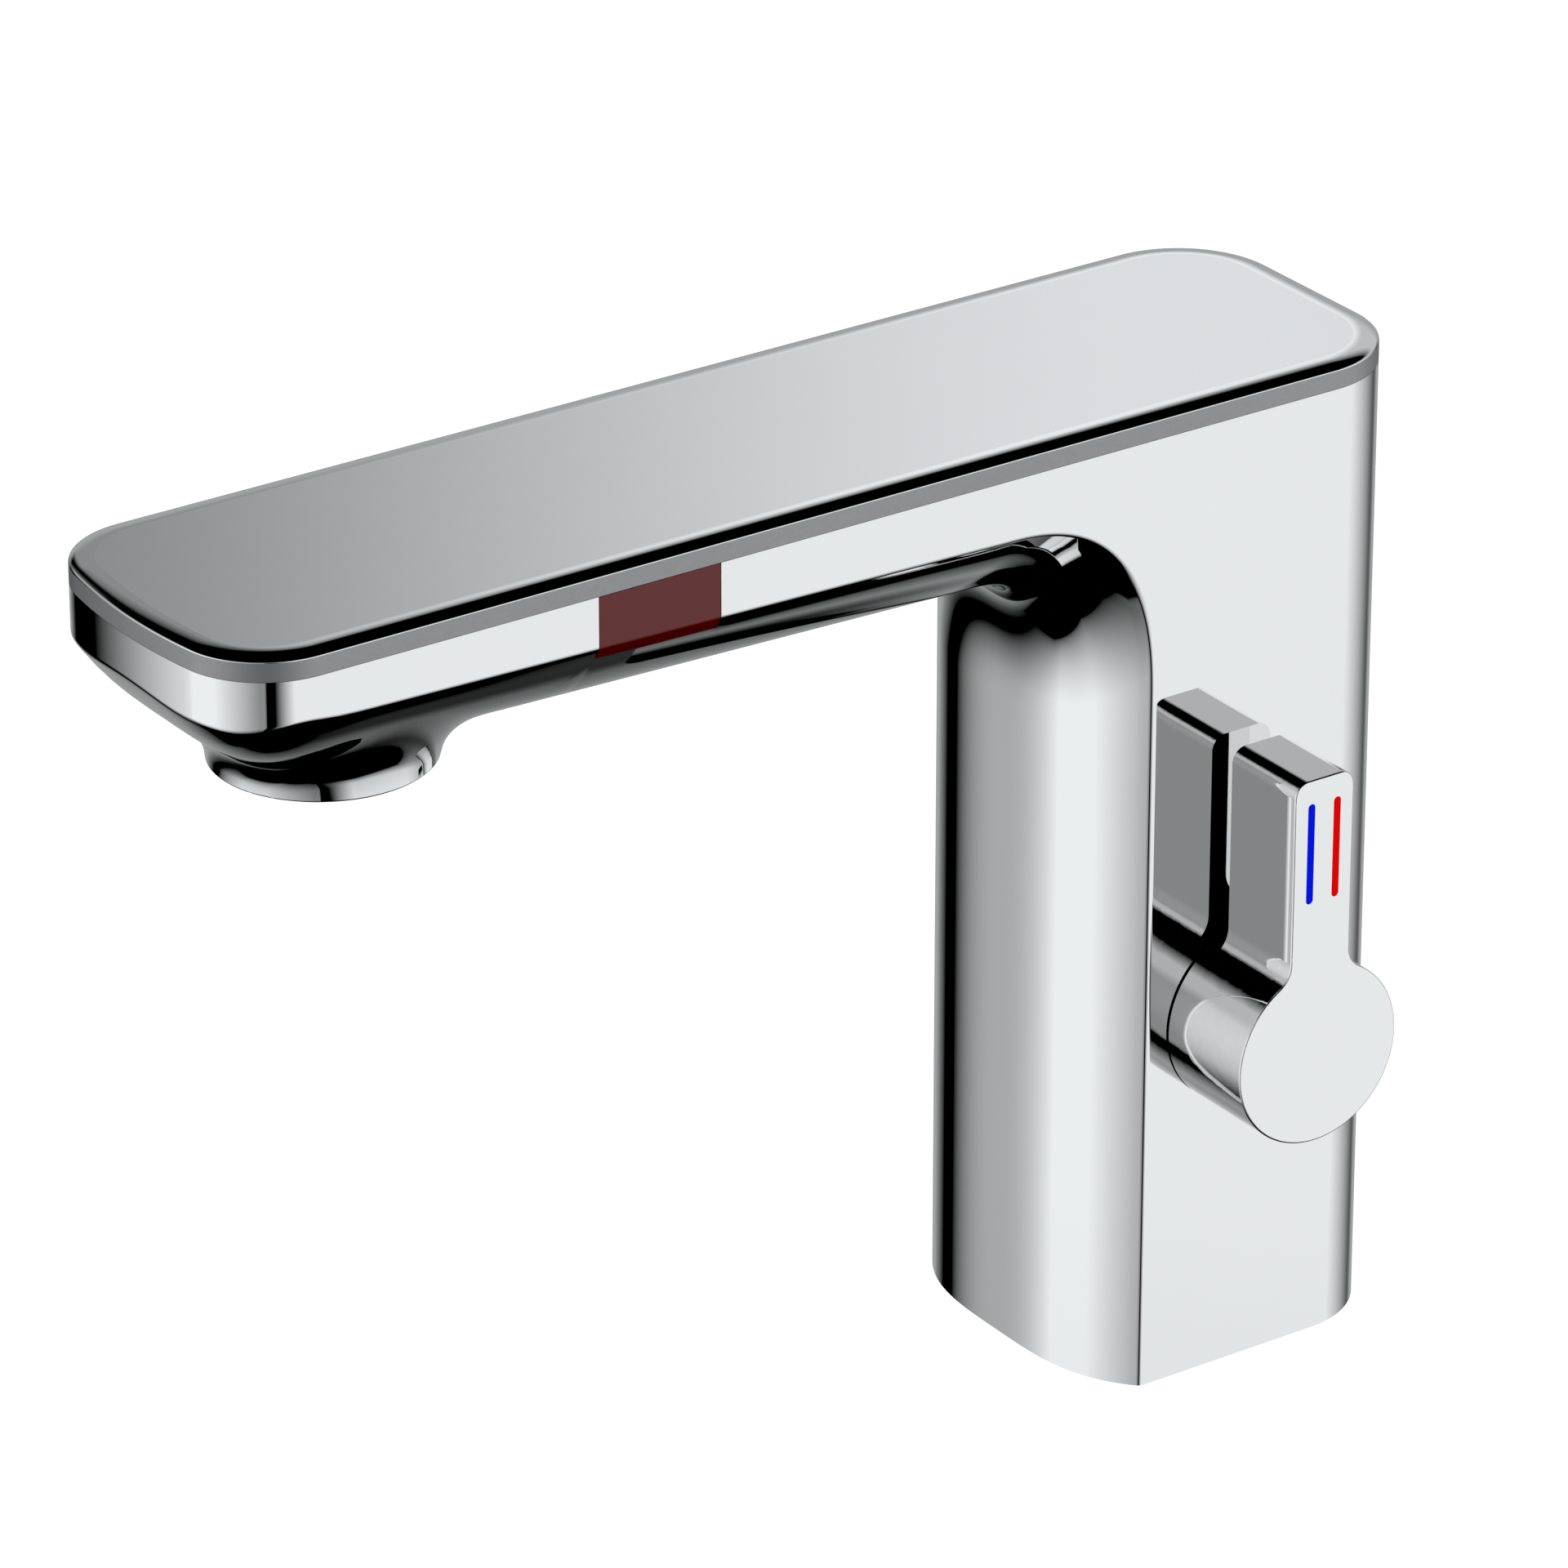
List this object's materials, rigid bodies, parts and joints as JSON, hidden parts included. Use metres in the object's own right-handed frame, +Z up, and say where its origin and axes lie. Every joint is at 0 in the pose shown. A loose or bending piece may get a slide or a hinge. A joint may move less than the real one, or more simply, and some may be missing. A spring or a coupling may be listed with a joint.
{
  "type": "sensor tap",
  "caption": "Deck-mounted basin tap with a long flat spout, an infrared window in its side that opens a solenoid valve, and a side lever that mixes hot and cold water",
  "frame": {"origin": "centre of the deck hole under the column, on the deck", "axes": "+Z up, -Y along the spout towards the user's basin, +X the side with the lever and the sensor window; this is the tap's own right as a person behind it faces the spout's end"},
  "size_m": [0.0666, 0.1916, 0.1489],
  "materials": {
    "polished_chrome": "polished chrome plate",
    "satin_chrome": "satin pearl chrome",
    "nozzle_plastic": "matt grey plastic",
    "aerator_mesh": "pale moulded plastic",
    "sensor_lens": "dark red infrared filter, gloss",
    "cold_blue": "blue enamel",
    "hot_red": "red enamel",
    "black_rubber": "matt",
    "brass": "machined",
    "stainless": "plain",
    "ceramic": "ground white ceramic",
    "white_plastic": "moulded",
    "black_plastic": "moulded",
    "grey_plastic": "moulded",
    "coil_cover": "cast resin",
    "board_green": "solder mask",
    "eye_resin": "tinted resin"
  },
  "bodies": {
    "tap": {"body_shell": "polished_chrome", "top_cover": "satin_chrome", "cover_gasket": "black_rubber", "cover_clips": "stainless", "sensor_window": "sensor_lens", "aerator_housing": "nozzle_plastic", "aerator_insert": "aerator_mesh", "aerator_screen": "stainless", "aerator_washer": "black_rubber", "outlet_elbow": "grey_plastic", "spout_tube": "stainless", "cartridge_body": "white_plastic", "fixed_ceramic_disc": "ceramic", "cartridge_seal": "black_rubber", "stem_o_ring": "black_rubber", "cartridge_nut": "brass", "waterway_block": "brass", "hot_inlet": "brass", "cold_inlet": "brass", "inlet_o_rings": "black_rubber", "hot_check_housing": "white_plastic", "hot_check_spring": "stainless", "cold_check_housing": "white_plastic", "cold_check_spring": "stainless", "valve_body": "black_plastic", "valve_o_ring": "black_rubber", "manifold_screws": "stainless", "plunger_guide": "stainless", "fixed_core": "stainless", "plunger_spring": "stainless", "solenoid_coil": "coil_cover", "coil_yoke": "stainless", "base_plate": "stainless", "base_gasket": "black_rubber", "base_screws": "stainless", "cable_grommet": "black_rubber", "electronics_tray": "black_plastic", "tray_screws": "stainless", "control_board": "board_green", "board_screws": "stainless", "board_connector": "white_plastic", "sensor_head": "black_plastic", "sensor_board": "board_green", "infrared_emitter": "eye_resin", "infrared_receiver": "eye_resin"},
    "lever": {"handle": "polished_chrome", "handle_grub_screw": "stainless", "cold_mark": "cold_blue", "hot_mark": "hot_red", "cartridge_stem": "brass", "moving_ceramic_disc": "ceramic"},
    "plunger": {"solenoid_plunger": "stainless", "plunger_seal": "black_rubber"},
    "hot_poppet": {"hot_check_poppet": "black_plastic"},
    "cold_poppet": {"cold_check_poppet": "black_plastic"}
  },
  "joints": [
    {"name": "lever_turn", "type": "hinge", "parent": "tap", "child": "lever", "pos_m": [0.03, -0.0019, 0.0547], "axis": [1, 0, 0], "range_deg": [-45, 45]},
    {"name": "plunger_lift", "type": "slide", "parent": "tap", "child": "plunger", "axis": [0, 0, 1], "range_m": [0, 0.002], "stiffness_N_per_m": 300, "springref_m": -0.002, "deforming": ["plunger_spring"]},
    {"name": "hot_check_lift", "type": "slide", "parent": "tap", "child": "hot_poppet", "axis": [0, 0, 1], "range_m": [0, 0.002], "stiffness_N_per_m": 20, "springref_m": -0.002, "deforming": ["hot_check_spring"]},
    {"name": "cold_check_lift", "type": "slide", "parent": "tap", "child": "cold_poppet", "axis": [0, 0, 1], "range_m": [0, 0.002], "stiffness_N_per_m": 20, "springref_m": -0.002, "deforming": ["cold_check_spring"]}
  ]
}
